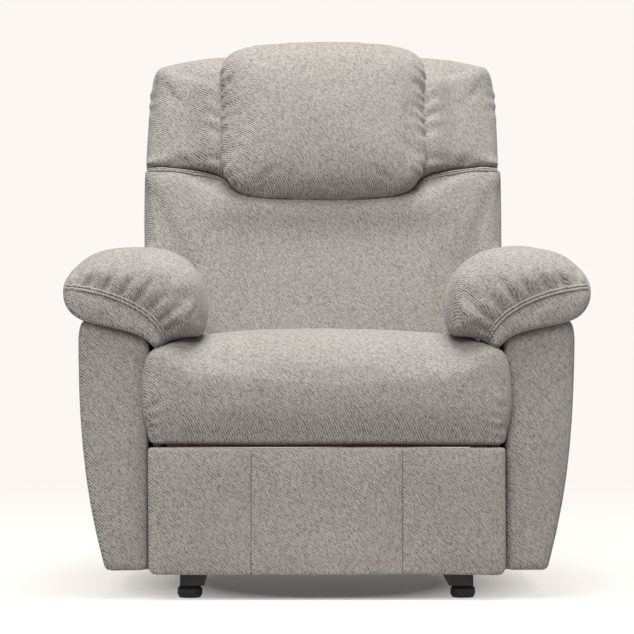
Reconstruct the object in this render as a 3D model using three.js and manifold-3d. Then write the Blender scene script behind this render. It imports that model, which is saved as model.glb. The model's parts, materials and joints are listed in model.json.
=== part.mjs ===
// Upholstered manual recliner armchair. Millimetres, +Z up, the sitter faces -Y.
// The origin is on the floor, under the middle of the chair. "Right" is the sitter's right, on the -X side.
import * as THREE from 'three';
import { mergeVertices } from 'three/addons/utils/BufferGeometryUtils.js';
import Module from 'manifold-3d';

const wasm = await Module();
wasm.setup();

// ---- Driving dimensions ----
const halfDepth = 467;
const gap = 0.3;
const plateThickness = 4;
const armGround = 52;
const armTop = 486;
const armInner = 322.3;
const armFront = -430;
const armBoardFront = -395.5;
const armRear = 400;
const armSlopeStart = 200;
const armRearTop = 440;
const panelThickness = 15;
const sideCoverThickness = 22;
const railBottom = 24.3;
const railTop = 50;
const railCentre = 243;
const railWidth = 44;
const railEnd = 420;
const beamBottom = railTop + gap;
const beamTop = 90;
const beamWidth = 40;
const frontBeamY = -195;
const rearBeamY = 235;
const backLean = THREE.MathUtils.degToRad(15);
const seatHalfWidth = 317;
const frameHalfDepth = 18;
const cushionSegments = 3;
const pinSegments = 8;

// Plates of the linkage lie side by side; each layer is named by its inner distance from the middle plane.
const layerPitch = plateThickness + gap;
const seatPlateLayer = 291;
const rearLinkLayer = seatPlateLayer - layerPitch;
const frontLinkLayer = rearLinkLayer - layerPitch;
const steeringLayer = frontLinkLayer - layerPitch;
const controlLayer = steeringLayer - layerPitch;
const glideLayer = seatPlateLayer + layerPitch;
const basePlateLayer = glideLayer + layerPitch;

// Pivots as (y, z) in the side view, chair upright and closed.
const glideLength = 90;
const glideSwing = 30;
const glideRise = Math.sqrt(glideLength ** 2 - glideSwing ** 2);
const pivots = {
  frontGlideBase: [-160, 130],
  rearGlideBase: [150, 130],
  frontGlideSeat: [-160 + glideSwing, 130 + glideRise],
  rearGlideSeat: [150 + glideSwing, 130 + glideRise],
  driveBase: [250.9, 107.6],
  driveBack: [256.7, 286.1],
  backHinge: [215, 315],
  rearRailEnd: [130, 262],
  rearLink: [-318, 248],
  knee: [-331, 65],
  kneeTail: [-298, 51],
  steering: [-257.5, 256],
  controlTail: [-296, 85],
  footrest: [-396, 214],
  footrestControl: [-399, 247],
};

// ---- Materials ----
function finish(color, roughness, metalness) {
  return () => new THREE.MeshStandardMaterial({ color, roughness, metalness });
}

const greyFabric = finish(0xa5a29d, 0.95, 0);
const paleWood = finish(0xb89468, 0.7, 0);
const blackSteel = finish(0x2a2b2e, 0.45, 0.7);
const blackPlastic = finish(0x1d1e20, 0.5, 0);
const blackRubber = finish(0x18181a, 0.8, 0);
const darkWebbing = finish(0x3a3a3c, 0.9, 0);

// ---- Solid modelling helpers ----
function toManifold(geometry) {
  const plain = geometry.clone();
  plain.deleteAttribute('normal');
  plain.deleteAttribute('uv');
  const merged = mergeVertices(plain);
  const vertProperties = new Float32Array(merged.attributes.position.array);
  const triVerts = new Uint32Array(merged.index.array);
  return new wasm.Manifold(new wasm.Mesh({ numProp: 3, vertProperties, triVerts }));
}

function fromManifold(solid) {
  const { vertProperties, triVerts } = solid.getMesh();
  const geometry = new THREE.BufferGeometry();
  geometry.setAttribute('position', new THREE.BufferAttribute(vertProperties, 3));
  geometry.setIndex(new THREE.BufferAttribute(triVerts, 1));
  geometry.computeVertexNormals();
  return geometry;
}

function join(first, ...others) {
  return fromManifold(others.reduce((sum, next) => sum.add(toManifold(next)), toManifold(first)));
}

function cut(first, ...tools) {
  return fromManifold(tools.reduce((rest, tool) => rest.subtract(toManifold(tool)), toManifold(first)));
}

function block(xRange, yRange, zRange) {
  const size = [xRange, yRange, zRange].map(([low, high]) => high - low);
  const centre = [xRange, yRange, zRange].map(([low, high]) => (low + high) / 2);
  return new THREE.BoxGeometry(...size).translate(...centre);
}

function sided(side, inner, outer) {
  return [Math.min(side * inner, side * outer), Math.max(side * inner, side * outer)];
}

const sideSheet = new THREE.Matrix4().makeBasis(
  new THREE.Vector3(0, 1, 0), new THREE.Vector3(0, 0, 1), new THREE.Vector3(1, 0, 0));
const frontSheet = new THREE.Matrix4().makeBasis(
  new THREE.Vector3(1, 0, 0), new THREE.Vector3(0, 0, 1), new THREE.Vector3(0, -1, 0));

// Sweeps a side-view outline (y, z) across the chair between two X planes.
function sweepAcross(outline, [xLow, xHigh]) {
  const options = { depth: xHigh - xLow, bevelEnabled: false, curveSegments: pinSegments };
  return new THREE.ExtrudeGeometry(outline, options).applyMatrix4(sideSheet).translate(xLow, 0, 0);
}

// Sweeps a front-view outline (x, z) from yRear forward to yFront, with both ends rounded over.
function sweepForward(outline, yFront, yRear, round = 0, curveSegments = 6) {
  const options = {
    depth: yRear - yFront - 2 * round,
    curveSegments,
    bevelEnabled: round > 0,
    bevelSize: round,
    bevelThickness: round,
    bevelOffset: -round,
    bevelSegments: cushionSegments,
  };
  return new THREE.ExtrudeGeometry(outline, options).applyMatrix4(frontSheet).translate(0, yRear - round, 0);
}

function outlineOf(points) {
  return new THREE.Shape(points.map(([across, up]) => new THREE.Vector2(across, up)));
}

function turnOf([ay, az], [by, bz], [cy, cz]) {
  return (by - ay) * (cz - az) - (bz - az) * (cy - ay);
}

function halfHull(points) {
  const chain = [];
  for (const point of points) {
    while (chain.length > 1 && turnOf(chain.at(-2), chain.at(-1), point) <= 1e-6) {
      chain.pop();
    }
    chain.push(point);
  }
  return chain.slice(0, -1);
}

// The outline of a flat bar drawn tight around a disc at each pivot, with a hole where one is listed.
function barOutline(centres, radius, holes = []) {
  const rim = centres.flatMap(([y, z]) => Array.from({ length: 2 * pinSegments }, (_, step) => {
    const angle = (step / pinSegments) * Math.PI;
    return [y + radius * Math.cos(angle), z + radius * Math.sin(angle)];
  }));
  rim.sort((a, b) => a[0] - b[0] || a[1] - b[1]);
  const shape = outlineOf([...halfHull(rim), ...halfHull(rim.toReversed())]);
  for (const [[y, z], holeRadius] of holes) {
    const hole = new THREE.Path();
    hole.absarc(y, z, holeRadius, 0, 2 * Math.PI, true);
    shape.holes.push(hole);
  }
  return shape;
}

function pin([y, z], radius, [xLow, xHigh]) {
  return new THREE.CylinderGeometry(radius, radius, xHigh - xLow, 2 * pinSegments)
    .rotateZ(Math.PI / 2)
    .translate((xLow + xHigh) / 2, y, z);
}

const chair = new THREE.Group();

function add(name, geometry, material, parent = chair) {
  const mesh = new THREE.Mesh(geometry, material());
  mesh.name = name;
  parent.add(mesh);
}

const sides = [['right', -1], ['left', 1]];
const barRadius = 12;
const pinRadius = 6;
const smallPinRadius = 5;

function layer(side, inner, thickness = plateThickness) {
  return sided(side, inner, inner + thickness);
}

// ---- Base: feet, rails, beams and the plates that carry the glides ----
function foot() {
  const radius = 22.5;
  const treadRadius = 19;
  const neckRadius = 17;
  const height = 24;
  const profile = [[0, 0], [treadRadius, 0], [radius, 6], [radius, 16], [neckRadius, height], [0, height]];
  return new THREE.LatheGeometry(profile.map(([r, z]) => new THREE.Vector2(r, z)), 20).rotateX(Math.PI / 2);
}

function addBase() {
  const footY = railEnd - 45;
  const footX = railCentre + 5;
  for (const [word, side] of sides) {
    for (const [end, y] of [['front', -footY], ['rear', footY]]) {
      add(`foot_${end}_${word}`, foot().translate(side * footX, y, 0), blackPlastic);
    }
    const railX = sided(side, railCentre - railWidth / 2, railCentre + railWidth / 2);
    add(`base_rail_${word}`, block(railX, [-railEnd, railEnd - 10], [railBottom, railTop]), blackSteel);
    addBasePlate(word, side);
  }
  const beamX = [-armInner + gap, armInner - gap];
  for (const [word, y] of [['front', frontBeamY], ['rear', rearBeamY]]) {
    const beamY = [y - beamWidth / 2, y + beamWidth / 2];
    add(`${word}_cross_beam`, block(beamX, beamY, [beamBottom, beamTop]), blackSteel);
  }
}

function addBasePlate(word, side) {
  const tabHeight = beamTop + gap + barRadius;
  const beamTabs = [[frontBeamY, tabHeight], [rearBeamY, tabHeight]];
  const outline = barOutline(
    [pivots.frontGlideBase, pivots.rearGlideBase, pivots.driveBase, ...beamTabs], barRadius);
  const plate = sweepAcross(outline, layer(side, basePlateLayer));
  const reach = sided(side, glideLayer + gap, basePlateLayer + 1);
  const axles = [pivots.frontGlideBase, pivots.rearGlideBase, pivots.driveBase]
    .map((pivot) => pin(pivot, pinRadius, reach));
  add(`base_side_plate_${word}`, join(plate, ...axles), blackSteel);
}

// ---- Glides: they carry the seat forward as the back reclines ----
function addGlides() {
  const hole = pinRadius + gap;
  const swagedHole = 9.5;
  const driveBarRadius = 14;
  for (const [word, side] of sides) {
    const where = layer(side, glideLayer);
    const front = [pivots.frontGlideBase, pivots.frontGlideSeat];
    const rear = [pivots.rearGlideBase, pivots.rearGlideSeat];
    const drive = [pivots.driveBase, pivots.driveBack];
    add(`front_glide_link_${word}`,
      sweepAcross(barOutline(front, barRadius, front.map((p) => [p, hole])), where), blackSteel);
    add(`rear_glide_link_${word}`,
      sweepAcross(barOutline(rear, barRadius, rear.map((p) => [p, hole])), where), blackSteel);
    const driveHoles = [[drive[0], hole], [drive[1], swagedHole]];
    add(`recline_drive_link_${word}`,
      sweepAcross(barOutline(drive, driveBarRadius, driveHoles), where), blackSteel);
  }
}

// ---- Arms ----
// The arm's outer face flares from armFlare inside its widest at the ground out to armOuter at armWidest.
const armOuter = 448;
const armWidest = 440;
const armFlare = 49;
const armFlarePower = 2.2;
function armHalfWidth(z) {
  const below = Math.max(0, armWidest - z) / (armWidest - armGround);
  return armOuter - armFlare * below ** armFlarePower;
}

function armOutline(side, innerEdge, outerInset, zLow, zHigh, steps = 8) {
  const levels = Array.from({ length: steps + 1 }, (_, i) => zLow + ((zHigh - zLow) * i) / steps);
  const outer = levels.map((z) => [side * (armHalfWidth(z) - outerInset), z]);
  const inner = levels.toReversed().map((z) => [side * innerEdge(z), z]);
  return outlineOf([...outer, ...inner]);
}

function armSlopeCutter() {
  const slope = (armTop - armRearTop) / (armRear - armSlopeStart);
  const beyond = armRear + 50;
  const outline = outlineOf([
    [armSlopeStart, armTop], [beyond, armTop - slope * (beyond - armSlopeStart)],
    [beyond, armTop + 50], [armSlopeStart, armTop + 50]]);
  return sweepAcross(outline, [-500, 500]);
}

const cupCentre = [-180, 395];
const cupSize = [120, 90];
const cableHole = [-60, 255];
const cableRadius = 3;

function addArm(word, side) {
  const slope = armSlopeCutter();
  const innerOutline = outlineOf([
    [armBoardFront, armGround], [armRear, armGround], [armRear, armRearTop],
    [armSlopeStart, armTop], [armBoardFront, armTop]]);
  if (side < 0) {
    const hole = new THREE.Path();
    hole.absarc(...cableHole, cableRadius + 2, 0, 2 * Math.PI, true);
    innerOutline.holes.push(hole);
  }
  const panelX = sided(side, armInner, armInner + panelThickness);
  add(`arm_inner_panel_${word}`, sweepAcross(innerOutline, panelX), paleWood);

  const topBoardThickness = 18;
  const insideFace = armInner + panelThickness + gap;
  const boardInset = sideCoverThickness + gap;
  const topBoard = armOutline(side, () => insideFace, boardInset, armTop - topBoardThickness, armTop, 1);
  add(`arm_top_board_${word}`, sweepForward(topBoard, armBoardFront, armSlopeStart - 5), paleWood);
  const rearBoard = armOutline(side, () => insideFace, boardInset, armGround, armRearTop - 2);
  add(`arm_rear_board_${word}`, sweepForward(rearBoard, armRear - panelThickness, armRear), paleWood);

  const skin = armOutline(side, (z) => armHalfWidth(z) - sideCoverThickness, 0, armGround, armTop);
  let cover = cut(sweepForward(skin, armBoardFront, armRear), slope);
  if (side < 0) {
    const [cupY, cupZ] = cupCentre;
    const halfY = cupSize[0] / 2 + gap;
    const halfZ = cupSize[1] / 2 + gap;
    cover = cut(cover, block([-500, -400], [cupY - halfY, cupY + halfY], [cupZ - halfZ, cupZ + halfZ]));
  }
  add(`arm_side_cover_${word}`, cover, greyFabric);

  const face = armOutline(side, () => armInner, 0, armGround, armTop);
  add(`arm_front_cover_${word}`, sweepForward(face, armFront, armBoardFront - gap, 8), greyFabric);
  add(`arm_pad_${word}`, armPad(side), greyFabric);
}

// A fat pillow that overhangs the arm on both sides.
function armPad(side) {
  const front = -455;
  const rear = 158;
  const roundover = 32;
  const bottom = armTop + gap;
  const footInner = 262;
  const footOuter = 428;
  const inner = 217;
  const outer = 475;
  const top = 636;
  const crest = 346;
  const waist = 565;
  const shape = new THREE.Shape();
  shape.moveTo(side * footInner, bottom);
  shape.lineTo(side * footOuter, bottom);
  shape.quadraticCurveTo(side * (outer - 4), bottom + 8, side * outer, waist);
  shape.bezierCurveTo(side * outer, top - 30, side * (crest + 70), top, side * crest, top);
  shape.bezierCurveTo(side * (crest - 75), top, side * inner, top - 32, side * inner, waist - 12);
  shape.quadraticCurveTo(side * inner, bottom, side * footInner, bottom);
  return sweepForward(shape, front, rear, roundover, 5);
}

// ---- Release: a cup let into the right arm, its paddle and its cable ----
const cupFace = armOuter;
const cupDepth = 43;
const cupWall = 3;
const paddleHinge = [437.5, 433.5];
const paddleHalfThickness = 3;
const paddleLength = 49;

function addRelease() {
  const [cupY, cupZ] = cupCentre;
  const [halfY, halfZ] = cupSize.map((size) => size / 2);
  const back = cupFace - cupDepth;
  const yRange = [cupY - halfY, cupY + halfY];
  const zRange = [cupZ - halfZ, cupZ + halfZ];
  const inside = ([low, high]) => [low + cupWall, high - cupWall];
  const cup = cut(
    block([-cupFace, -back], yRange, zRange),
    block([-cupFace - 1, -back - cupWall], inside(yRange), inside(zRange)));
  add('release_cup', cup, blackPlastic);

  const [hingeX, hingeZ] = paddleHinge;
  const paddleY = [cupY - halfY + 8, cupY + halfY - 8];
  const paddleX = [-hingeX - paddleHalfThickness, -hingeX + paddleHalfThickness];
  const leaf = block(paddleX, paddleY, [hingeZ - paddleLength, hingeZ]);
  const barrel = new THREE.CylinderGeometry(
    paddleHalfThickness, paddleHalfThickness, paddleY[1] - paddleY[0], 12).translate(-hingeX, cupY, hingeZ);
  add('release_paddle', join(leaf, barrel), blackPlastic);

  const [holeY, holeZ] = cableHole;
  const route = new THREE.CatmullRomCurve3([
    new THREE.Vector3(-back + 2 * gap, cupY, cupZ),
    new THREE.Vector3(-back + 12, cupY, cupZ),
    new THREE.Vector3(-385, cupY + 10, cupZ - 12),
    new THREE.Vector3(-375, cupY + 50, cupZ - 70),
    new THREE.Vector3(-360, holeY - 15, holeZ + 15),
    new THREE.Vector3(-337, holeY, holeZ),
    new THREE.Vector3(-306, holeY, holeZ),
  ]);
  const section = new THREE.Shape().absarc(0, 0, cableRadius, 0, 2 * Math.PI);
  const cable = new THREE.ExtrudeGeometry(section, { steps: 24, extrudePath: route, curveSegments: 4 });
  add('release_cable', cable, blackRubber);
}

// ---- Seat ----
const railBoardTop = 291.5;
const hingePinRadius = 8;
const seatBarRadius = 14;
function addSeat() {
  const innerReach = (depth) => [seatPlateLayer - depth, seatPlateLayer + 1];
  for (const [word, side] of sides) {
    const beam = barOutline([pivots.rearLink, pivots.steering, pivots.rearRailEnd,
      pivots.rearGlideSeat, pivots.frontGlideSeat], seatBarRadius);
    const riser = barOutline([pivots.rearGlideSeat, pivots.backHinge], frameHalfDepth);
    const where = layer(side, seatPlateLayer);
    const outward = sided(side, seatPlateLayer + 1, glideLayer + plateThickness - gap);
    const parts = [
      sweepAcross(riser, where),
      pin(pivots.frontGlideSeat, pinRadius, outward),
      pin(pivots.rearGlideSeat, pinRadius, outward),
      pin(pivots.rearLink, pinRadius, sided(side, ...innerReach(plateThickness))),
      pin(pivots.steering, pinRadius, sided(side, ...innerReach(3 * layerPitch - gap))),
      pin(pivots.backHinge, hingePinRadius, sided(side, ...innerReach(plateThickness))),
    ];
    add(`seat_side_plate_${word}`, join(sweepAcross(beam, where), ...parts), blackSteel);
  }
  const frontRailDepth = 18;
  const rearRailDepth = 29;
  const webbingHalfWidth = 270;
  const webbingThickness = 4;
  const boardX = [-seatPlateLayer + gap, seatPlateLayer - gap];
  add('seat_front_rail',
    block(boardX, [-400, -300], [railBoardTop - frontRailDepth, railBoardTop]), paleWood);
  add('seat_rear_rail',
    block(boardX, [95, 135], [railBoardTop - rearRailDepth, railBoardTop]), paleWood);
  const webbingZ = [railBoardTop + gap, railBoardTop + gap + webbingThickness];
  add('seat_webbing', block([-webbingHalfWidth, webbingHalfWidth], [-395, 130], webbingZ), darkWebbing);
  add('seat_cushion', seatCushion(), greyFabric);
}

// The cushion's crown falls from the middle to the sides, and its front lip hangs in front of the rail.
function seatCushion() {
  const rear = 122;
  const lipRear = -402;
  const lipBottom = 284;
  const crown = 481;
  const crownHalfWidth = 130;
  const corner = 45;
  const shoulder = crown - 16;
  const shape = new THREE.Shape();
  shape.moveTo(-seatHalfWidth + corner, lipBottom);
  shape.lineTo(seatHalfWidth - corner, lipBottom);
  shape.quadraticCurveTo(seatHalfWidth, lipBottom, seatHalfWidth, lipBottom + corner);
  shape.lineTo(seatHalfWidth, crown - 85);
  shape.quadraticCurveTo(seatHalfWidth, shoulder - 4, seatHalfWidth - 70, shoulder);
  shape.lineTo(crownHalfWidth, crown);
  shape.lineTo(-crownHalfWidth, crown);
  shape.lineTo(-seatHalfWidth + 70, shoulder);
  shape.quadraticCurveTo(-seatHalfWidth, shoulder - 4, -seatHalfWidth, crown - 85);
  shape.lineTo(-seatHalfWidth, lipBottom + corner);
  shape.quadraticCurveTo(-seatHalfWidth, lipBottom, -seatHalfWidth + corner, lipBottom);
  const solid = sweepForward(shape, -halfDepth, rear, 20, 4);
  const springSpace = block([-400, 400], [lipRear, 200], [200, railBoardTop + 5]);
  return cut(solid, springSpace);
}

// ---- Back: built upright around its hinge, then leaned ----
const back = new THREE.Group();
back.position.set(0, ...pivots.backHinge);
back.rotation.x = -backLean;
chair.add(back);

const backNarrow = 306;
const backWide = 350;
const wingStart = 285;
const backFootZ = 30;
const shoulderSeam = 491;
const cushionFront = -92;
const backTop = 724;
const postTop = 698;
const postWidth = 24;
const backRailHeight = 40;

// Front view of one layer of the back: narrow between the arms, wide above them, the top corners rounded.
function backOutline(zLow, zHigh, topWidth, corner) {
  const narrow = zLow < wingStart;
  const notch = narrow ? [[backNarrow, wingStart], [backWide, wingStart + 14]] : [];
  const lowWidth = narrow ? backNarrow : backWide;
  const half = [[lowWidth, zLow], ...notch, [topWidth, zHigh - corner]];
  const shape = outlineOf([...half.map(([x, z]) => [-x, z]).reverse(), ...half]);
  if (corner > 0) {
    shape.quadraticCurveTo(topWidth, zHigh, topWidth - 2 * corner, zHigh);
    shape.lineTo(2 * corner - topWidth, zHigh);
    shape.quadraticCurveTo(-topWidth, zHigh, -topWidth, zHigh - corner);
  }
  return shape;
}

function addBack() {
  const lean = new THREE.Matrix4().makeRotationX(backLean);
  const driveOffset = new THREE.Vector3(0,
    pivots.driveBack[0] - pivots.backHinge[0], pivots.driveBack[1] - pivots.backHinge[1]).applyMatrix4(lean);
  const drive = [driveOffset.y, driveOffset.z];
  const hinge = [0, 0];
  const boreRadius = hingePinRadius + gap;
  const plateTop = [0, 170];
  const hornRadius = 11;
  for (const [word, side] of sides) {
    const where = layer(side, rearLinkLayer);
    const upright = sweepAcross(
      barOutline([hinge, plateTop], frameHalfDepth, [[hinge, boreRadius]]), where);
    const horn = sweepAcross(barOutline([hinge, drive], hornRadius, [[hinge, boreRadius]]), where);
    const studX = sided(side, rearLinkLayer + 1, glideLayer + plateThickness - gap);
    const stud = pin(drive, smallPinRadius, studX);
    const bore = pin(hinge, boreRadius, sided(side, rearLinkLayer - 5, rearLinkLayer + 9));
    add(`back_hinge_plate_${word}`, cut(join(upright, horn, stud), bore), blackSteel, back);
    const postX = sided(side, rearLinkLayer - gap - postWidth, rearLinkLayer - gap);
    add(`back_post_${word}`,
      block(postX, [-frameHalfDepth, frameHalfDepth], [-frameHalfDepth, postTop]), paleWood, back);
  }
  const railHalf = rearLinkLayer - 2 * gap - postWidth;
  for (const [word, z] of [['bottom', backFootZ], ['top', postTop - backRailHeight]]) {
    const rail = block([-railHalf, railHalf], [-frameHalfDepth, frameHalfDepth], [z, z + backRailHeight]);
    add(`back_${word}_rail`, rail, paleWood, back);
  }
  const faceRear = -frameHalfDepth - gap;
  add('back_lower_cushion',
    sweepForward(backOutline(backFootZ, shoulderSeam, backWide - 2, 0), cushionFront, faceRear, 10, 3),
    greyFabric, back);
  add('shoulder_cushion',
    sweepForward(backOutline(shoulderSeam + gap, backTop, backWide - 12, 50), cushionFront, faceRear, 10, 4),
    greyFabric, back);
  add('headrest_pillow', headrest(), greyFabric, back);

  const coverTop = backTop - 6;
  const behindHinge = halfDepth - pivots.backHinge[0];
  const coverRear = (behindHinge - (coverTop - 14) * Math.sin(backLean)) / Math.cos(backLean);
  add('back_rear_cover',
    sweepForward(backOutline(backFootZ, coverTop, backWide - 12, 50), frameHalfDepth + gap, coverRear, 14, 4),
    greyFabric, back);
}

function headrest() {
  const front = -160;
  const roundover = 26;
  const half = 206;
  const low = 411;
  const high = 734;
  const corner = 70;
  const shape = new THREE.Shape();
  shape.moveTo(-half + corner + 20, low);
  shape.lineTo(half - corner - 20, low);
  shape.quadraticCurveTo(half, low, half, low + corner + 20);
  shape.lineTo(half, high - corner);
  shape.quadraticCurveTo(half, high - 6, half - corner - 30, high - 2);
  shape.lineTo(-half + corner + 30, high - 2);
  shape.quadraticCurveTo(-half, high - 6, -half, high - corner);
  shape.lineTo(-half, low + corner + 20);
  shape.quadraticCurveTo(-half, low, -half + corner + 20, low);
  return sweepForward(shape, front, cushionFront - gap, roundover, 5);
}

// ---- Footrest and the two linkages that carry it ----
function addFootrest() {
  const boardRear = -428;
  const boardThickness = 12;
  const boardY = [boardRear - boardThickness, boardRear];
  const { knee, kneeTail, rearLink, steering, controlTail, footrest, footrestControl } = pivots;
  const tubeRadius = 9;
  const controlBarRadius = 10;
  const earRadius = 11;
  for (const [word, side] of sides) {
    add(`footrest_rear_link_${word}`,
      sweepAcross(barOutline([rearLink, knee], barRadius, [[rearLink, pinRadius + gap]]),
        layer(side, rearLinkLayer)), blackSteel);
    const frontHoles = [[knee, tubeRadius + gap], [footrest, smallPinRadius + gap]];
    add(`footrest_front_link_${word}`,
      sweepAcross(barOutline([knee, kneeTail, footrest], barRadius, frontHoles),
        layer(side, frontLinkLayer)), blackSteel);
    const steeringBar = sweepAcross(
      barOutline([steering, kneeTail], barRadius, [[steering, pinRadius + gap]]), layer(side, steeringLayer));
    const tailPin = pin(controlTail, smallPinRadius, sided(side, controlLayer + gap, steeringLayer + 1));
    add(`footrest_steering_link_${word}`, join(steeringBar, tailPin), blackSteel);
    const controlHoles = [[controlTail, smallPinRadius + gap]];
    add(`footrest_control_link_${word}`,
      sweepAcross(barOutline([controlTail, footrestControl], controlBarRadius, controlHoles),
        layer(side, controlLayer)), blackSteel);
    const earY = boardRear + gap + earRadius;
    const ear = barOutline([footrest, footrestControl, [earY, 225], [earY, 250]], earRadius);
    const earPinX = sided(side, steeringLayer + 1, frontLinkLayer + plateThickness - gap);
    const earPin = pin(footrest, smallPinRadius, earPinX);
    add(`footrest_bracket_${word}`, join(sweepAcross(ear, layer(side, steeringLayer)), earPin), blackSteel);
  }
  const tubeHalf = rearLinkLayer - gap;
  add('knee_cross_tube', pin(knee, tubeRadius, [-tubeHalf, tubeHalf]), blackSteel);
  add('footrest_board', block([-300, 300], boardY, [56, 268]), paleWood);

  const half = seatHalfWidth;
  const [low, high] = [46, 277];
  const chamfer = 8;
  const outline = outlineOf([
    [-half + chamfer, low], [half - chamfer, low], [half, low + chamfer], [half, high],
    [-half, high], [-half, low + chamfer]]);
  add('footrest_pad', sweepForward(outline, -halfDepth + 5, boardY[0] - gap, 8), greyFabric);
}

addBase();
addGlides();
for (const [word, side] of sides) {
  addArm(word, side);
}
addRelease();
addSeat();
addBack();
addFootrest();

export default chair;
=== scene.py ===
"""Looks of the recliner armchair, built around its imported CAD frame. Metres, +Z up, the sitter faces -Y."""

import json
import math

import bmesh
import bpy
import numpy as np
from mathutils import Matrix, Vector
from mathutils.bvhtree import BVHTree


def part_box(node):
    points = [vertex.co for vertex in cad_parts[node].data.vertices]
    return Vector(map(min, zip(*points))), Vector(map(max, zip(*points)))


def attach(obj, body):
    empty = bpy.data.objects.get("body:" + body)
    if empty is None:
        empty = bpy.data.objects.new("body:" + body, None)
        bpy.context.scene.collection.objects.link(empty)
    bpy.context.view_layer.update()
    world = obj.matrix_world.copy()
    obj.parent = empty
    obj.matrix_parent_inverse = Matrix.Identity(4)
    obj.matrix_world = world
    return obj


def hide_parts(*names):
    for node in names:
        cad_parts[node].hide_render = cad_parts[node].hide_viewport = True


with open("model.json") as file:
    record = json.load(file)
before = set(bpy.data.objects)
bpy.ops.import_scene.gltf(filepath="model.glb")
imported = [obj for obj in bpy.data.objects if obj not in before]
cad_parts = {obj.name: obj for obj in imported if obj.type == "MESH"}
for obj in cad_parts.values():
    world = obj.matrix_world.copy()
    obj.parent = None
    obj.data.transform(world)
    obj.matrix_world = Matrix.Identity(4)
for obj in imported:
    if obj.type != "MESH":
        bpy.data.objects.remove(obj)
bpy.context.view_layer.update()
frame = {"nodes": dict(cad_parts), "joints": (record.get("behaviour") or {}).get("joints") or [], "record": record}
mm = 0.001
sides = (("right", -1), ("left", 1))
floor_reach = 4.0


# ---------------------------------------------------------------- materials

def surface(name):
    """A new material, its node tree, its shader and the object's own coordinates."""
    material = bpy.data.materials.new(name)
    material.use_nodes = True
    tree = material.node_tree
    place = add_node(tree, "ShaderNodeTexCoord").outputs["Object"]
    return material, tree, tree.nodes["Principled BSDF"], place


def add_node(tree, kind, inputs=None, **settings):
    node = tree.nodes.new(kind)
    for key, value in settings.items():
        setattr(node, key, value)
    for key, value in (inputs or {}).items():
        if isinstance(value, bpy.types.NodeSocket):
            tree.links.new(value, node.inputs[key])
        else:
            node.inputs[key].default_value = value
    return node


def maths(tree, operation, *values):
    return add_node(tree, "ShaderNodeMath", dict(enumerate(values)), operation=operation).outputs[0]


def noise(tree, place, scale, detail, roughness=0.5):
    inputs = {"Vector": place, "Scale": scale, "Detail": detail, "Roughness": roughness}
    return add_node(tree, "ShaderNodeTexNoise", inputs).outputs["Fac"]


def bands(tree, place, direction, **inputs):
    """A wave texture's value. The names of its inputs are written with _ for a space."""
    named = {key.replace("_", " "): value for key, value in inputs.items()}
    node = add_node(tree, "ShaderNodeTexWave", {"Vector": place, **named}, bands_direction=direction)
    return node.outputs["Fac"]


def turned(tree, place, axis, degrees):
    inputs = {"Vector": place, "Axis": axis, "Angle": math.radians(degrees)}
    return add_node(tree, "ShaderNodeVectorRotate", inputs, rotation_type="AXIS_ANGLE").outputs["Vector"]


def stretched(tree, place, scale):
    return add_node(tree, "ShaderNodeMapping", {"Vector": place, "Scale": scale}).outputs["Vector"]


def grey(value):
    return (value, value, value)


def ramp(tree, value, stops):
    """A colour for each value, from (place, colour) stops."""
    node = add_node(tree, "ShaderNodeValToRGB", {"Fac": value})
    while len(node.color_ramp.elements) < len(stops):
        node.color_ramp.elements.new(0.5)
    for element, (place, colour) in zip(node.color_ramp.elements, stops):
        element.position = place
        element.color = (*colour, 1)
    return node.outputs["Color"]


def multiplied(tree, a, b):
    """One colour tinted by another. The Mix node's colour sockets have the numbers 6, 7 and 2."""
    node = add_node(tree, "ShaderNodeMix", {0: 1.0, 6: a, 7: b}, data_type="RGBA", blend_type="MULTIPLY")
    return node.outputs[2]


def paint(tree, shader, value, stops, socket="Base Color"):
    tree.links.new(ramp(tree, value, stops), shader.inputs[socket])


def emboss(tree, shader, height, strength, distance, **under):
    """Raises the surface by a texture's value, over another bump where one is given as Normal."""
    inputs = {"Height": height, "Strength": strength, "Distance": distance, **under}
    bump = add_node(tree, "ShaderNodeBump", inputs).outputs["Normal"]
    tree.links.new(bump, shader.inputs["Normal"])
    return bump


def set_sockets(shader, values):
    for socket, value in values.items():
        shader.inputs[socket].default_value = value


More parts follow.
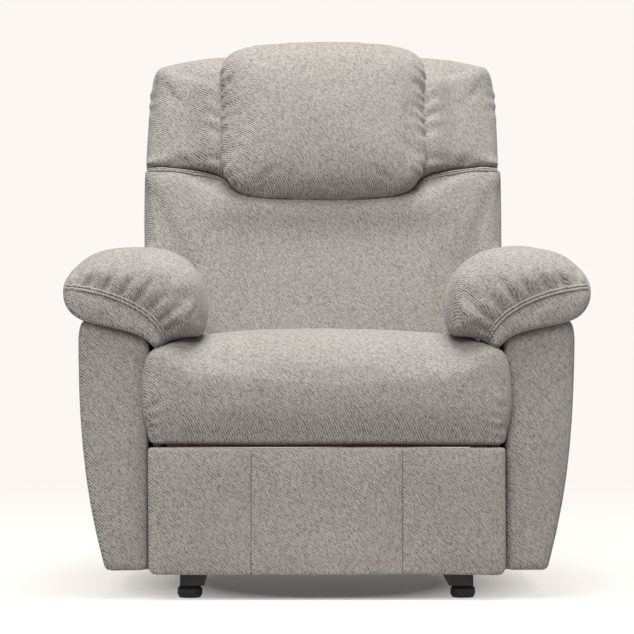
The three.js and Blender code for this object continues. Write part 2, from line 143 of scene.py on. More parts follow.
def fabric_material():
    """Upholstery cloth: a broken twill of short raised dashes, diagonal on every face, on a fine ground."""
    base = (0.240, 0.226, 0.212)
    dark = tuple(0.44 * channel for channel in base)
    light = tuple(1.46 * channel for channel in base)
    pitch = 2.9 * mm
    waves_per_unit = 20 / (2 * math.pi)
    material, tree, shader, place = surface("grey_fabric")
    diagonal = turned(tree, turned(tree, place, (0.0, 0.0, 1.0), -45), (0.0, 1.0, 0.0), 30)
    twill = bands(tree, diagonal, "X", Scale=1 / (pitch * waves_per_unit), Distortion=4.0, Detail=2.0,
                  Detail_Scale=1.9, Detail_Roughness=0.6)
    dashes = stretched(tree, diagonal, (1.0, 0.45, 0.45))
    broken = noise(tree, dashes, 0.9 / pitch, 1.0)
    grain = noise(tree, dashes, 620.0, 3.0, 0.7)
    cloud = noise(tree, place, 7.0, 4.0, 0.6)
    raised = maths(tree, "ADD", maths(tree, "MULTIPLY", twill, 0.55), maths(tree, "MULTIPLY", broken, 0.85))
    strokes = ramp(tree, raised, [(0.34, dark), (0.62, base), (0.92, light)])
    fleck = ramp(tree, grain, [(0.3, (0.84, 0.83, 0.82)), (0.7, grey(1.10))])
    tone = ramp(tree, cloud, [(0.3, (0.95, 0.945, 0.94)), (0.7, grey(1.04))])
    colour = multiplied(tree, multiplied(tree, strokes, fleck), tone)
    tree.links.new(colour, shader.inputs["Base Color"])
    tree.links.new(maths(tree, "MULTIPLY_ADD", grain, 0.12, 0.82), shader.inputs["Roughness"])
    set_sockets(shader, {"Specular IOR Level": 0.25, "Sheen Weight": 0.16, "Sheen Roughness": 0.5})
    coarse = emboss(tree, shader, raised, 0.55, 1.2 * mm)
    emboss(tree, shader, grain, 0.35, 0.5 * mm, Normal=coarse)
    return material


def steel_material():
    material, tree, shader, place = surface("black_steel")
    wear = noise(tree, place, 24.0, 6.0)
    paint(tree, shader, wear, [(0.35, (0.011, 0.011, 0.012)), (0.75, (0.026, 0.026, 0.028))])
    paint(tree, shader, wear, [(0.3, grey(0.44)), (0.8, grey(0.6))], "Roughness")
    set_sockets(shader, {"Metallic": 0.1, "Coat Weight": 0.1})
    emboss(tree, shader, noise(tree, place, 900.0, 2.0), 0.25, 0.2 * mm)
    return material


def plastic_material():
    material, tree, shader, place = surface("black_plastic")
    scuff = noise(tree, place, 40.0, 5.0)
    speck = add_node(tree, "ShaderNodeTexVoronoi", {"Vector": place, "Scale": 1400.0}).outputs["Distance"]
    paint(tree, shader, scuff, [(0.35, (0.016, 0.016, 0.018)), (0.8, (0.034, 0.034, 0.037))])
    paint(tree, shader, scuff, [(0.3, grey(0.42)), (0.8, grey(0.6))], "Roughness")
    emboss(tree, shader, speck, 0.3, 0.25 * mm)
    return material


def sheath_material():
    material, tree, shader, place = surface("cable_sheath")
    ribs = noise(tree, place, 500.0, 3.0)
    paint(tree, shader, ribs, [(0.3, (0.010, 0.010, 0.011)), (0.7, (0.022, 0.022, 0.023))])
    set_sockets(shader, {"Roughness": 0.62})
    emboss(tree, shader, ribs, 0.3, 0.2 * mm)
    return material


def wood_material():
    """Sawn softwood and plywood, with the grain along the chair's depth."""
    material, tree, shader, place = surface("frame_wood")
    lengthwise = stretched(tree, place, (6.0, 0.8, 6.0))
    warp = add_node(tree, "ShaderNodeTexNoise",
                    {"Vector": lengthwise, "Scale": 3.0, "Detail": 4.0, "Distortion": 1.4}).outputs["Color"]
    rings = bands(tree, warp, "X", Scale=5.0, Distortion=3.0, Detail=3.0)
    fibre = noise(tree, lengthwise, 90.0, 5.0)
    colour = ramp(tree, rings, [(0.0, (0.62, 0.45, 0.27)), (1.0, (0.42, 0.27, 0.14))])
    shade = ramp(tree, fibre, [(0.3, grey(0.82)), (0.7, grey(1.08))])
    tree.links.new(multiplied(tree, colour, shade), shader.inputs["Base Color"])
    paint(tree, shader, fibre, [(0.3, grey(0.62)), (0.7, grey(0.8))], "Roughness")
    emboss(tree, shader, fibre, 0.4, 0.4 * mm)
    return material


def webbing_material():
    material, tree, shader, place = surface("webbing")
    threads = [bands(tree, place, axis, Scale=90.0, Distortion=0.3) for axis in "XY"]
    weave = maths(tree, "MULTIPLY", *threads)
    paint(tree, shader, weave, [(0.1, (0.02, 0.02, 0.022)), (0.8, (0.07, 0.07, 0.075))])
    set_sockets(shader, {"Roughness": 0.9})
    emboss(tree, shader, weave, 0.5, 0.5 * mm)
    return material


def thread_material():
    """Twisted sewing thread, a shade darker than the cloth."""
    material, tree, shader, place = surface("seam_thread")
    twist = bands(tree, place, "DIAGONAL", Scale=700.0, Distortion=1.0)
    paint(tree, shader, twist, [(0.2, (0.075, 0.070, 0.066)), (0.8, (0.15, 0.14, 0.13))])
    set_sockets(shader, {"Roughness": 0.7})
    emboss(tree, shader, twist, 0.4, 0.2 * mm)
    return material


fabric = fabric_material()
thread = thread_material()
slot_materials = {
    "steel": steel_material(),
    "plastic": plastic_material(),
    "cable": sheath_material(),
    "wood": wood_material(),
    "webbing": webbing_material(),
}


# ---------------------------------------------------------------- mesh building

def walked(points):
    """How far along a line of points each of them is."""
    return np.concatenate([[0], np.cumsum(np.linalg.norm(np.diff(points, axis=0), axis=1))])


def even_steps(points, count, closed):
    """A line cut into equal steps. A closed one has its first point again at its end, and loses it here."""
    length = walked(points)
    at = np.linspace(0, length[-1], count, endpoint=not closed)
    return np.stack([np.interp(at, length, points[:, k]) for k in range(points.shape[1])], axis=1)


def smooth_outline(points, count, closed=True):
    """A curve through the points, cut into equal steps."""
    p = np.array(points, float)
    n = len(p)
    t = np.linspace(0, 1, 24, endpoint=False)[:, None]
    fine = []
    for i in range(n if closed else n - 1):
        a, b, c, d = (p[(i + k) % n] if closed else p[min(max(i + k, 0), n - 1)] for k in (-1, 0, 1, 2))
        fine.append(0.5 * (2 * b + (c - a) * t + (2 * a - 5 * b + 4 * c - d) * t**2
                           + (3 * b - a - 3 * c + d) * t**3))
    fine = np.concatenate(fine)
    return even_steps(np.vstack([fine, fine[0] if closed else p[-1]]), count, closed)


def rounded_outline(corners, count):
    """A closed outline from (x, z, corner radius) corners, cut into equal steps."""
    points = np.array([corner[:2] for corner in corners], float)
    fine = []
    for i, (_, _, radius) in enumerate(corners):
        corner = points[i]
        before = points[i - 1] - corner
        after = points[(i + 1) % len(points)] - corner
        reach = min(radius, 0.49 * np.linalg.norm(before), 0.49 * np.linalg.norm(after))
        start = corner + before / np.linalg.norm(before) * reach
        end = corner + after / np.linalg.norm(after) * reach
        for t in np.linspace(0, 1, 9):
            fine.append(start * (1 - t) ** 2 + 2 * corner * t * (1 - t) + end * t**2)
    return even_steps(np.array(fine + [fine[0]]), count, True)


def mirrored(half):
    """Closes a half outline, listed from the middle of its top down the +X side, by its mirror image."""
    return half + [(-x, *rest) for x, *rest in half[:0:-1] if x > 0]


def inset(outline, distance):
    """Moves a clockwise or anticlockwise closed outline inwards along its own normals."""
    tangent = np.roll(outline, -1, axis=0) - np.roll(outline, 1, axis=0)
    normal = np.stack([tangent[:, 1], -tangent[:, 0]], axis=1)
    normal /= np.linalg.norm(normal, axis=1)[:, None] + 1e-12
    area = np.sum(outline[:, 0] * np.roll(outline[:, 1], -1) - np.roll(outline[:, 0], -1) * outline[:, 1])
    return outline - normal * np.sign(area) * np.reshape(distance, (-1, 1))


def band_faces(a, b, count):
    """The squares between two closed rings of count points that start at the numbers a and b."""
    return [(a + i, a + (i + 1) % count, b + (i + 1) % count, b + i) for i in range(count)]


def loft(name, outline_at, front, rear, round_front, round_rear,
         crown_front=0.0, crown_rear=0.0, step=9 * mm, rounds=6, centre=None):
    """A closed padded body: an (x, z) outline carried along Y from front to rear, with rounded, crowned ends.
    outline_at(t) gives the outline at t from 0 at the front to 1 at the rear."""
    first, last = outline_at(0.0), outline_at(1.0)
    if centre is None:
        centre = (first.min(0) + first.max(0)) / 2
    count = len(first)

    def end(outline, y_tip, inward, radius, crown):
        flat = inset(outline, radius)
        reach = np.linalg.norm(flat - centre, axis=1).max()
        faces = max(4, int(reach / step / 1.3))
        part = []
        for k in range(1, faces + 1):
            share = k / faces
            part.append((centre + (flat - centre) * share, y_tip + inward * crown * share**2))
        for k in range(1, rounds + 1):
            angle = k / rounds * math.pi / 2
            part.append((inset(outline, np.asarray(radius) * (1 - math.sin(angle))),
                         y_tip + inward * (crown + np.asarray(radius) * (1 - math.cos(angle)))))
        return part

    near = end(first, front, 1, round_front, crown_front)
    far = end(last, rear, -1, round_rear, crown_rear)
    y_near = np.broadcast_to(near[-1][1], count)
    y_far = np.broadcast_to(far[-1][1], count)
    spans = max(2, int(abs(np.mean(y_far) - np.mean(y_near)) / step))
    rings = near
    for k in range(1, spans):
        t = k / spans
        rings.append((outline_at(t), y_near + (y_far - y_near) * t))
    rings += far[::-1]

    verts = [(centre[0], front, centre[1])]
    for outline, y in rings:
        y = np.broadcast_to(y, count)
        verts += [(outline[i, 0], y[i], outline[i, 1]) for i in range(count)]
    verts.append((centre[0], rear, centre[1]))
    faces = [(0, 1 + (i + 1) % count, 1 + i) for i in range(count)]
    for r in range(len(rings) - 1):
        faces += band_faces(1 + r * count, 1 + (r + 1) * count, count)
    tail = 1 + (len(rings) - 1) * count
    faces += [(tail + i, tail + (i + 1) % count, len(verts) - 1) for i in range(count)]
    return mesh_object(name, verts, faces)


def mesh_object(name, verts, faces, material=None):
    mesh = bpy.data.meshes.new(name)
    mesh.from_pydata([tuple(v) for v in verts], [], faces)
    mesh.validate()
    obj = bpy.data.objects.new(name, mesh)
    bpy.context.scene.collection.objects.link(obj)
    mesh.materials.append(material or fabric)
    face_outward(obj)
    mesh.shade_smooth()
    return obj


def face_outward(obj):
    work = bmesh.new()
    work.from_mesh(obj.data)
    bmesh.ops.recalc_face_normals(work, faces=work.faces)
    work.to_mesh(obj.data)
    work.free()


def apply_modifiers(obj):
    bpy.context.view_layer.update()
    evaluated = obj.evaluated_get(bpy.context.evaluated_depsgraph_get())
    fresh = bpy.data.meshes.new_from_object(evaluated)
    obj.modifiers.clear()
    obj.data = fresh


def even_mesh(obj, size, smoothing=6):
    """Rebuilds a closed cover from even squares of that size, so that cloth and creases take it evenly."""
    remesh = obj.modifiers.new("remesh", "REMESH")
    remesh.mode = "VOXEL"
    remesh.voxel_size = size
    remesh.use_smooth_shade = True
    smooth = obj.modifiers.new("smooth", "SMOOTH")
    smooth.factor = 0.5
    smooth.iterations = smoothing
    apply_modifiers(obj)


def vertex_array(obj):
    co = np.empty(len(obj.data.vertices) * 3)
    obj.data.vertices.foreach_get("co", co)
    return co.reshape(-1, 3)


def normal_array(obj):
    no = np.empty(len(obj.data.vertices) * 3)
    obj.data.vertex_normals.foreach_get("vector", no)
    return no.reshape(-1, 3)


def set_vertices(obj, co):
    obj.data.vertices.foreach_set("co", co.ravel())
    obj.data.update()


def inflate(obj, pinned, cap, pressure=3.0, stiffness=15.0, frames=20):
    """Blows a closed cover up with Cloth, holding the pinned vertices, and keeps every move under the cap."""
    start = vertex_array(obj)
    group = obj.vertex_groups.new(name="held")
    for index in np.nonzero(pinned > 0.01)[0]:
        group.add([int(index)], float(pinned[index]), "REPLACE")
    cloth = obj.modifiers.new("cloth", "CLOTH")
    settings = cloth.settings
    settings.vertex_group_mass = "held"
    settings.use_pressure = True
    settings.uniform_pressure_force = pressure
    settings.tension_stiffness = stiffness
    settings.compression_stiffness = stiffness
    settings.shear_stiffness = 5.0
    settings.bending_stiffness = 0.6
    settings.quality = 5
    settings.effector_weights.gravity = 0.0
    cloth.collision_settings.use_collision = False
    cloth.collision_settings.use_self_collision = False
    cloth.point_cache.frame_start = 1
    cloth.point_cache.frame_end = frames
    scene = bpy.context.scene
    for number in range(1, frames + 1):
        scene.frame_set(number)
    apply_modifiers(obj)
    scene.frame_set(1)
    moved = vertex_array(obj) - start
    length = np.linalg.norm(moved, axis=1)[:, None]
    softened = cap * np.tanh(length / cap)
    set_vertices(obj, start + moved * softened / np.maximum(length, 1e-9))
    obj.vertex_groups.clear()


def stuff(obj, size, hold, cap, smoothing=2):
    """Blows a cover up from an even mesh at twice the size, held where hold(co) is 1, then refines it."""
    even_mesh(obj, 2 * size, smoothing)
    inflate(obj, np.clip(hold(vertex_array(obj)), 0, 1), cap)
    obj.modifiers.new("refine", "SUBSURF").levels = 1
    apply_modifiers(obj)


# ---------------------------------------------------------------- creases and seams

def crease(co, normal, start, end, width, depth, facing, ease=0.0):
    """Presses a tapered crease into the surface along a line in the (x, z) view, with soft ridges beside."""
    flat = co[:, [0, 2]]
    a, b = np.array(start), np.array(end)
    line = b - a
    length = np.linalg.norm(line)
    along = (flat - a) @ line / length**2
    off = ((flat[:, 0] - a[0]) * line[1] - (flat[:, 1] - a[1]) * line[0]) / length
    fade = (1 - np.clip(along, 0, 1)) ** 0.8 * np.exp(-np.clip(-along * length / width, 0, 6) ** 2)
    if ease:
        fade = fade * smoothstep(along * length, 0.0, ease)
    spread = width * (1 + 0.9 * np.clip(along, 0, 1))
    valley = np.exp(-((off / spread) ** 2))
    ridge = np.exp(-(((off - 1.9 * spread) / (1.25 * spread)) ** 2))
    ridge += np.exp(-(((off + 1.9 * spread) / (1.25 * spread)) ** 2))
    amount = depth * fade * (0.55 * ridge - valley) * facing
    return co + normal * amount[:, None]


def crease_pairs(co, normal, facing, width, marks):
    """Presses in creases and their mirror images. A mark is a root and a run, as (x, z) on +X, and a depth."""
    for (x, z), (run_x, run_z), depth in marks:
        for side in (-1, 1):
            root = np.array([side * x, z])
            tip = root + np.array([side * run_x, run_z])
            co = crease(co, normal, root, tip, width, depth, facing)
    return co


def distance_to_path(flat, path):
    """Distance from each 2-D point to a polyline, and on which side of it the point lies, as 1 or -1."""
    best = np.full(len(flat), np.inf)
    side = np.zeros(len(flat))
    for a, b in zip(path, path[1:]):
        line = b - a
        t = np.clip(((flat - a) @ line) / np.linalg.norm(line) ** 2, 0, 1)
        gap = flat - (a + t[:, None] * line)
        distance = np.linalg.norm(gap, axis=1)
        closer = distance < best
        best = np.where(closer, distance, best)
        side = np.where(closer, np.sign(line[0] * gap[:, 1] - line[1] * gap[:, 0]), side)
    return best, side


def tube(name, points, radius, material=thread, flats=8):
    """A round cord along a list of points, closed at both ends, with that many flats round it."""
    p = np.array(points, float)
    tangent = np.gradient(p, axis=0)
    tangent /= np.linalg.norm(tangent, axis=1)[:, None]
    up = np.array([0.0, 0.0, 1.0]) if abs(tangent[0, 2]) < 0.9 else np.array([1.0, 0.0, 0.0])
    verts, faces = [], []
    for point, direction in zip(p, tangent):
        up = up - direction * (up @ direction)
        up /= np.linalg.norm(up)
        across = np.cross(direction, up)
        for k in range(flats):
            angle = 2 * math.pi * k / flats
            verts.append(point + radius * (math.cos(angle) * up + math.sin(angle) * across))
    for r in range(len(p) - 1):
        faces += band_faces(r * flats, (r + 1) * flats, flats)
    faces.append(tuple(range(flats))[::-1])
    faces.append(tuple(len(verts) - flats + k for k in range(flats)))
    return mesh_object(name, verts, faces, material)


def join_objects(objects, name):
    verts, faces = [], []
    for obj in objects:
        base = len(verts)
        verts += [tuple(v.co) for v in obj.data.vertices]
        faces += [tuple(base + i for i in f.vertices) for f in obj.data.polygons]
        material = obj.data.materials[0]
        bpy.data.objects.remove(obj)
    return mesh_object(name, verts, faces, material)


def on_surface(obj, points, direction, lift):
    """Drops points onto obj along direction and lifts them off it. Gives them and the normals there."""
    mesh = obj.data
    tree = BVHTree.FromPolygons([v.co for v in mesh.vertices], [f.vertices for f in mesh.polygons])
    direction = Vector(direction)
    far_outside = 0.4
    found, normals = [], []
    for point in points:
        start = Vector(point) - direction * far_outside
        hit, normal, _, _ = tree.ray_cast(start, direction)
        if hit is not None:
            found.append(np.array(hit + normal * lift))
            normals.append(np.array(normal))
    return np.array(found), np.array(normals)


def smooth_path(points, passes=6):
    p = np.array(points)
    for _ in range(passes):
        p[1:-1] = (p[:-2] + 2 * p[1:-1] + p[2:]) / 4
    return p


def felled_seam(name, obj, points, spacing, radius):
    """A double-needle seam on obj's front: two raised rows side by side, and a row of stitches on each."""
    rearward = (0, 1, 0)
    stitch_pitch = 4.6 * mm
    stitch_radius = 0.7 * mm
    centre, normals = on_surface(obj, points, rearward, 0.0)
    centre = smooth_path(centre)
    tangent = np.gradient(centre, axis=0)
    tangent /= np.linalg.norm(tangent, axis=1)[:, None]
    across = np.cross(tangent, normals)
    across /= np.linalg.norm(across, axis=1)[:, None]

    def row_at(offset):
        line, lifted = on_surface(obj, centre + across * offset, rearward, 0.0)
        return smooth_path(line, 10), lifted

    welts, threads = [], []
    for row in (-1, 1):
        line, lifted = row_at(row * spacing)
        welts.append(tube(f"{name}_row", line + lifted * 0.45 * radius, radius, fabric, 10))
        edge, lifted = row_at(row * (spacing + radius * 1.15))
        length = walked(edge)
        for k in range(int(length[-1] / stitch_pitch)):
            places = [k * stitch_pitch + part * stitch_pitch for part in (0.1, 0.45, 0.8)]
            start, middle, end = (np.array([np.interp(at, length, axis) for axis in edge.T]) for at in places)
            raised = lifted[min(np.searchsorted(length, places[1]), len(lifted) - 1)] * 0.3 * mm
            threads.append(tube(f"{name}_stitch", [start, middle + raised, end], stitch_radius, thread, 6))
    return join_objects(welts, f"{name}_welt"), join_objects(threads, f"{name}_thread")


def bezier(a, b, c, d, count=60):
    """Points on a cubic curve with ends a and d."""
    a, b, c, d = (np.array(v, float) for v in (a, b, c, d))
    t = np.linspace(0, 1, count)[:, None]
    return a * (1 - t) ** 3 + 3 * b * t * (1 - t) ** 2 + 3 * c * t**2 * (1 - t) + d * t**3


def smoothstep(value, low, high):
    t = np.clip((np.asarray(value, float) - low) / (high - low), 0, 1)
    return t * t * (3 - 2 * t)


def ripple(obj, amount, size, seed=0):
    """Slow hand-made unevenness, as stuffing leaves under cloth."""
    co = vertex_array(obj)
    normal = normal_array(obj)
    turn = np.random.default_rng(seed)
    wave = np.zeros(len(co))
    for _ in range(9):
        direction = turn.normal(size=3)
        direction /= np.linalg.norm(direction)
        phase = turn.uniform(0, 2 * math.pi)
        wave += np.sin(co @ direction * 2 * math.pi / (size * turn.uniform(0.7, 1.9)) + phase)
    set_vertices(obj, co + normal * (wave / 4 * amount)[:, None])


def boolean(obj, cutter):
    cut = obj.modifiers.new("cut", "BOOLEAN")
    cut.operation = "DIFFERENCE"
    cut.solver = "EXACT"
    cut.object = cutter
    apply_modifiers(obj)
    bpy.data.objects.remove(cutter)


def box_mesh(low, high):
    """A plain cutter between two corners."""
    work = bmesh.new()
    bmesh.ops.create_cube(work, size=1.0)
    centre = (np.array(low) + np.array(high)) / 2
    size = np.array(high) - np.array(low)
    for vertex in work.verts:
        vertex.co = Vector(centre + size * np.array(vertex.co))
    mesh = bpy.data.meshes.new("cutter")
    work.to_mesh(mesh)
    work.free()
    obj = bpy.data.objects.new("cutter", mesh)
    bpy.context.scene.collection.objects.link(obj)
    return obj


def box_of(*nodes):
    corners = [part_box(node) for node in nodes]
    lows = np.array([tuple(low) for low, _ in corners])
    highs = np.array([tuple(high) for _, high in corners])
    return lows.min(0), highs.max(0)


def front_facing(obj, sharpness=1.0):
    """1 where the surface looks towards -Y, falling to 0 where it looks sideways or back."""
    return np.clip(-normal_array(obj)[:, 1], 0, 1) ** sharpness


def trim(obj, body):
    obj.data.shade_smooth()
    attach(obj, body)


def upholstered(obj, body, fill, *nodes):
    """A padded piece that rides on a body and stands for the CAD nodes named."""
    trim(obj, body)
    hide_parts(*nodes)


# ---------------------------------------------------------------- stage, camera and light

def make_camera():
    data = bpy.data.cameras.new("camera")
    data.lens = 207
    data.sensor_width = 36
    data.clip_end = 100
    camera = bpy.data.objects.new("camera", data)
    bpy.context.scene.collection.objects.link(camera)
    eye = Vector((-0.072, -7.0, 0.54))
    target = Vector((-0.014, 0.0, 0.5074))
    camera.location = eye
    camera.rotation_mode = "QUATERNION"
    camera.rotation_quaternion = (target - eye).to_track_quat("-Z", "Y")
    bpy.context.scene.camera = camera


def area_light(name, place, target, size, watts, colour):
    data = bpy.data.lights.new(name, "AREA")
    data.shape = "DISK"
    data.size = size
    data.energy = watts
    data.color = colour
    lamp = bpy.data.objects.new(name, data)
    lamp.location = place
    lamp.rotation_mode = "QUATERNION"
    lamp.rotation_quaternion = (Vector(target) - Vector(place)).to_track_quat("-Z", "Y")
    bpy.context.scene.collection.objects.link(lamp)


def make_world():
    """Soft light from all round, and a warm pale backdrop behind the chair."""
    world = bpy.data.worlds.new("studio")
    world.use_nodes = True
    tree = world.node_tree
    ambient = tree.nodes["Background"]
    set_sockets(ambient, {"Color": (1.0, 0.985, 0.97, 1), "Strength": 0.44})
    backdrop = add_node(tree, "ShaderNodeBackground", {"Color": (0.975, 0.93, 0.888, 1)})
    seen = add_node(tree, "ShaderNodeLightPath").outputs["Is Camera Ray"]
    mixed = add_node(tree, "ShaderNodeMixShader", {0: seen, 1: ambient.outputs[0], 2: backdrop.outputs[0]})
    tree.links.new(mixed.outputs[0], tree.nodes["World Output"].inputs["Surface"])
    bpy.context.scene.world = world


def make_lights():
    aim = (0, 0, 0.6)
    soft_white = (1.0, 0.985, 0.97)
    area_light("key", (-1.1, -4.8, 4.4), aim, 3.4, 240, soft_white)
    area_light("top", (0.25, -1.0, 5.6), aim, 3.3, 420, soft_white)


def make_floor():
    """A round floor, cut into rings and spokes."""
    rings, spokes = 24, 64
    verts = [(0, 0, 0)]
    for ring in range(1, rings + 1):
        for spoke in range(spokes):
            angle = 2 * math.pi * spoke / spokes
            radius = floor_reach * ring / rings
            verts.append((radius * math.cos(angle), radius * math.sin(angle), 0))
    faces = []
    for spoke in range(spokes):
        following = (spoke + 1) % spokes
        faces.append((0, 1 + spoke, 1 + following))
        for ring in range(rings - 1):
            a, b = 1 + ring * spokes, 1 + (ring + 1) * spokes
            faces.append((a + spoke, b + spoke, b + following, a + following))
    mesh_object("studio_floor", verts, faces, floor_material())


def floor_material():
    """Pale studio floor that fades out into the surroundings."""
    material, tree, shader, place = surface("studio_floor")
    set_sockets(shader, {"Base Color": (0.88, 0.85, 0.82, 1), "Roughness": 0.9, "Specular IOR Level": 0.1})
    oval = stretched(tree, place, (1.0, 0.6, 1.0))
    far = add_node(tree, "ShaderNodeVectorMath", {0: oval}, operation="LENGTH").outputs["Value"]
    stops = [(0.055, grey(0.92)), (0.105, grey(0.24)), (0.4, grey(0.24)), (0.72, grey(0))]
    fade = ramp(tree, maths(tree, "DIVIDE", far, floor_reach), stops)
    clear = add_node(tree, "ShaderNodeBsdfTransparent").outputs[0]
    mixed = add_node(tree, "ShaderNodeMixShader", {0: fade, 1: clear, 2: shader.outputs[0]})
    tree.links.new(mixed.outputs[0], tree.nodes["Material Output"].inputs["Surface"])
    return material


# ---------------------------------------------------------------- arms

def outer_profile(node):
    """(z, |x|) down the outermost line of a CAD node's front end, from its own corners."""
    obj = frame["nodes"][node]
    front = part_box(node)[0][1]
    reach = {}
    for vertex in obj.data.vertices:
        point = obj.matrix_world @ vertex.co
        if point.y < front + 1 * mm:
            level = round(point.z, 4)
            reach[level] = max(reach.get(level, 0.0), abs(point.x))
    levels = sorted(reach)
    return np.array(levels), np.array([reach[level] for level in levels])


def inner_outer(low, high):
    """A box's nearest and farthest |x|, on whichever side of the chair it lies."""
    return sorted((abs(low[0]), abs(high[0])))


def slope_start_of(word):
    """Where the arm's top starts to fall, just behind its top board."""
    return box_of(f"arm_top_board_{word}")[1][1] + 5 * mm


def arm_cover(word, side):
    """Cloth over padding, wrapped round the front, outer side, sloping top and rear of the arm's boards."""
    low, high = box_of(f"arm_front_cover_{word}", f"arm_side_cover_{word}")
    panel_low, panel_high = box_of(f"arm_inner_panel_{word}")
    board_low, board_high = box_of(f"arm_rear_board_{word}")
    slope_start = slope_start_of(word)
    levels, reach = outer_profile(f"arm_side_cover_{word}")
    inner, widest = inner_outer(low, high)
    panel_outer = inner_outer(panel_low, panel_high)[1] + 0.4 * mm
    front, rear = low[1] - 2 * mm, high[1] + 6 * mm
    ground, top = low[2], high[2]
    fall = (top - board_high[2] - 2 * mm) / (high[1] - slope_start)
    front_slab = panel_low[1] - 4 * mm
    lid_end = slope_start - 90 * mm

    def top_at(y):
        return top - max(0.0, y - slope_start) * fall

    def side_line(bottom, lid, inward):
        return [(np.interp(z, levels, reach) - inward, z, 6 * mm) for z in np.linspace(lid, bottom, 9)]

    def outside(t):
        y = front + (rear - front) * t
        under_pillow = float(1 - smoothstep(y, lid_end - 50 * mm, lid_end))
        lid = top_at(y) + 4 * mm
        edge = panel_outer if front_slab < y < lid_end - 20 * mm else inner - 1 * mm
        crown = [(edge, lid - 15 * mm * under_pillow, 7 * mm),
                 (widest - 88 * mm, lid - 4 * mm * under_pillow, 20 * mm),
                 (widest - 49 * mm, lid + 6 * mm * under_pillow, 20 * mm),
                 (widest - 6 * mm, lid + 16 * mm * under_pillow, 12 * mm)]
        outer = side_line(ground + 14 * mm, lid - 14 * mm, 0.0)
        foot = [(np.interp(ground, levels, reach), ground, 10 * mm), (edge, ground, 10 * mm)]
        swell = 5 * mm if y < front_slab else 0.0
        neck = [(edge, lid - 110 * mm, 30 * mm), (edge - swell, lid - 50 * mm, 20 * mm)]
        return rounded_outline([*crown, *outer, *foot, *neck], 220) * np.array([side, 1])

    cover = loft(f"arm_upholstery_{word}", outside, front, rear, 11 * mm, 8 * mm, 4 * mm, 1 * mm, step=7 * mm)
    even_mesh(cover, 5 * mm)
    ripple(cover, 1.0 * mm, 240 * mm, seed=5 if side < 0 else 6)
    thickness = 20 * mm
    hollow_front = panel_low[1]
    hollow_rear = board_high[1] + 0.8 * mm

    def inside(t):
        y = hollow_front + (hollow_rear - hollow_front) * t
        lid = top_at(y) + (80 * mm if y < lid_end else 0.4 * mm)
        outer = side_line(ground - 10 * mm, min(lid, top) - 4 * mm, thickness)
        corners = [(inner - 10 * mm, lid, 1 * mm), (outer[0][0], lid, 1 * mm), *outer,
                   (inner - 10 * mm, ground - 10 * mm, 1 * mm)]
        return rounded_outline(corners, 120) * np.array([side, 1])

    hollow = loft("hollow", inside, hollow_front, hollow_rear, 0.5 * mm, 0.5 * mm, step=12 * mm, rounds=2)
    boolean(cover, hollow)
    if word == "right":
        cup_low, cup_high = box_of("release_cup")
        margin = np.array([20, 0.4, 0.4]) * mm
        boolean(cover, box_mesh(cup_low - margin, cup_high + margin))
    upholstered(cover, "base", 0.9, f"arm_side_cover_{word}", f"arm_front_cover_{word}")


def arm_lining(word, side):
    """Thin cloth tacked over the inner panel: below the seat, and full height behind the back."""
    low, high = box_of(f"arm_inner_panel_{word}")
    slope_start = slope_start_of(word)
    rear_top = box_of(f"arm_rear_board_{word}")[1][2]
    face = inner_outer(low, high)[0]
    front, rear = low[1] + 1 * mm, high[1] + 0.5 * mm
    below_seat = box_of("seat_cushion")[0][2] - 48 * mm
    cloth = 1.3 * mm

    def outline_at(t):
        y = front + (rear - front) * t
        fallen = np.clip((y - slope_start) / (high[1] - slope_start), 0, 1)
        board_top = high[2] - fallen * (high[2] - rear_top) - 0.6 * mm
        behind_seat = smoothstep(y, slope_start - 185 * mm, slope_start - 150 * mm)
        upper = below_seat + (board_top - below_seat) * behind_seat
        near, far = face - 0.3 * mm - cloth, face - 0.3 * mm
        corners = [(near, low[2] + 4 * mm, 0.4 * mm), (far, low[2] + 4 * mm, 0.4 * mm),
                   (far, upper, 0.4 * mm), (near, upper, 0.4 * mm)]
        return rounded_outline(corners, 180) * np.array([side, 1])

    lining = loft(f"arm_lining_{word}", outline_at, front, rear, 0.5 * mm, 0.5 * mm, step=9 * mm, rounds=2)
    ripple(lining, 0.15 * mm, 90 * mm, seed=7 if side < 0 else 8)
    trim(lining, "base")


def seat_crown(x, half, crown):
    """Height of the seat's upper surface at |x|: nearly level in the middle and falling towards the sides."""
    share = np.clip(np.abs(x) / half, 0, 1)
    return crown + 3.5 * mm - 4 * mm * share - 28 * mm * share**5


def gather_front(pad, side, seam, top):
    """Swells the pillow's front above its seam and presses in the gathers that rise from the seam."""
    co = vertex_array(pad)
    normal = normal_array(pad)
    facing = front_facing(pad, 0.7)
    distance, turn = distance_to_path(co[:, [0, 2]], seam)
    above = (turn * -side) > 0
    beyond = np.clip(distance - 5 * mm, 0, None)
    reach = np.where(above, 22 * mm, 12 * mm)
    swell = np.where(above, 9 * mm, 1.5 * mm) * (1 - np.exp(-((beyond / reach) ** 2)))
    fade = smoothstep(co[:, 2], top - 4 * mm, top - 60 * mm)
    co = co + np.array([0, -1, 0]) * (swell * facing * np.where(above, fade, 1))[:, None]

    # Gathers rise from the seam and lean towards the middle, as (place along it, length, angle).
    gathers = ((0.10, 34, 74), (0.20, 52, 68), (0.32, 44, 62), (0.43, 52, 56), (0.55, 66, 52),
               (0.67, 46, 47), (0.79, 60, 36), (0.89, 34, 32))
    folds = np.clip(facing + 0.35, 0, 1) * above
    for place, length, rise in gathers:
        lean = math.radians(rise)
        upward = np.array([-side * math.cos(lean), math.sin(lean)])
        root = seam[int(place * (len(seam) - 1))] + upward * 3 * mm
        tip = root + upward * length * mm
        co = crease(co, normal, root, tip, 4.0 * mm, 6.5 * mm, folds, ease=7 * mm)
    set_vertices(pad, co)


